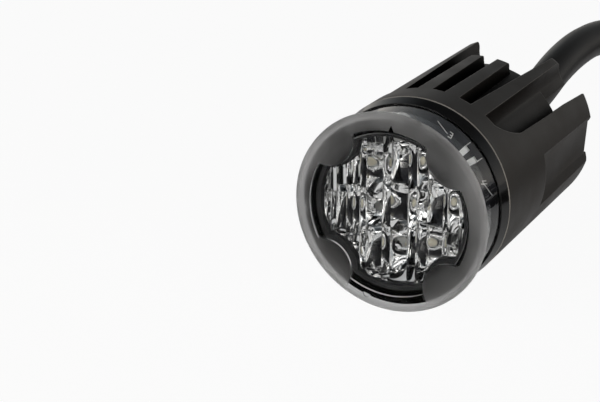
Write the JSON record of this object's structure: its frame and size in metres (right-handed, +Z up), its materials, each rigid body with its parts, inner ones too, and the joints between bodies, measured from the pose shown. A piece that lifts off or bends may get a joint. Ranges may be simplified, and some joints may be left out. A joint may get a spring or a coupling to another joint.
{
  "type": "hide-away strobe lamp head",
  "caption": "Round flush-mount warning lamp head: clear flanged lens over a fluted collimator, finned die-cast housing with rear prongs, and a jacketed cable with an inline connector.",
  "frame": {"origin": "on the lamp's axis, in the plane of the housing's front face, the rear wall of the groove that the mounting grommet sits in", "axes": "the lamp shines along -Y, the housing runs back along +Y, +Z is up with the optic's flutes vertical"},
  "size_m": [0.1255, 0.1263, 0.032],
  "materials": {
    "clear_lens": "clear moulded polycarbonate, frosted outside the window",
    "clear_optic": "clear moulded acrylic, polished flutes",
    "frame_black": "satin black moulding",
    "seal_black": "glossy black sealant bead",
    "cast_black": "satin black die-cast aluminium",
    "board_black": "black solder mask with white print",
    "emitter_ceramic": "white ceramic package with a clear dome",
    "resistor_ceramic": "white ceramic chip",
    "screw_steel": "zinc plated",
    "thermal_silicone": "grey silicone sheet",
    "driver_laminate": "green laminate",
    "ferrite": "dark ferrite drum",
    "capacitor_can": "bare can",
    "chip_epoxy": "moulded epoxy",
    "lead_insulation": "black insulation",
    "core_insulation": "coloured core insulation",
    "gland_rubber": "moulded black rubber",
    "cable_jacket": "satin black jacket",
    "tie_nylon": "black nylon",
    "connector_rubber": "grey wire seal",
    "connector_plastic": "black moulded nylon",
    "terminal_brass": "plated contacts",
    "lock_plastic": "grey moulded latch"
  },
  "bodies": {
    "root": {"outer_lens": "clear_lens", "optic_block": "clear_optic", "optic_frame": "frame_black", "seal_ring": "seal_black", "housing": "cast_black", "led_board": "board_black", "led_emitters": "emitter_ceramic", "chip_resistors": "resistor_ceramic", "board_screws": "screw_steel", "thermal_pad": "thermal_silicone", "driver_board": "driver_laminate", "driver_inductor": "ferrite", "driver_capacitors": "capacitor_can", "driver_chips": "chip_epoxy", "lead_wires": "lead_insulation", "cable_cores": "core_insulation", "cable_gland": "gland_rubber", "cable": "cable_jacket", "cable_coil": "cable_jacket", "coil_tie": "tie_nylon", "connector_seal": "connector_rubber", "connector_body": "connector_plastic", "connector_terminals": "terminal_brass", "connector_lock": "lock_plastic"}
  },
  "joints": []
}
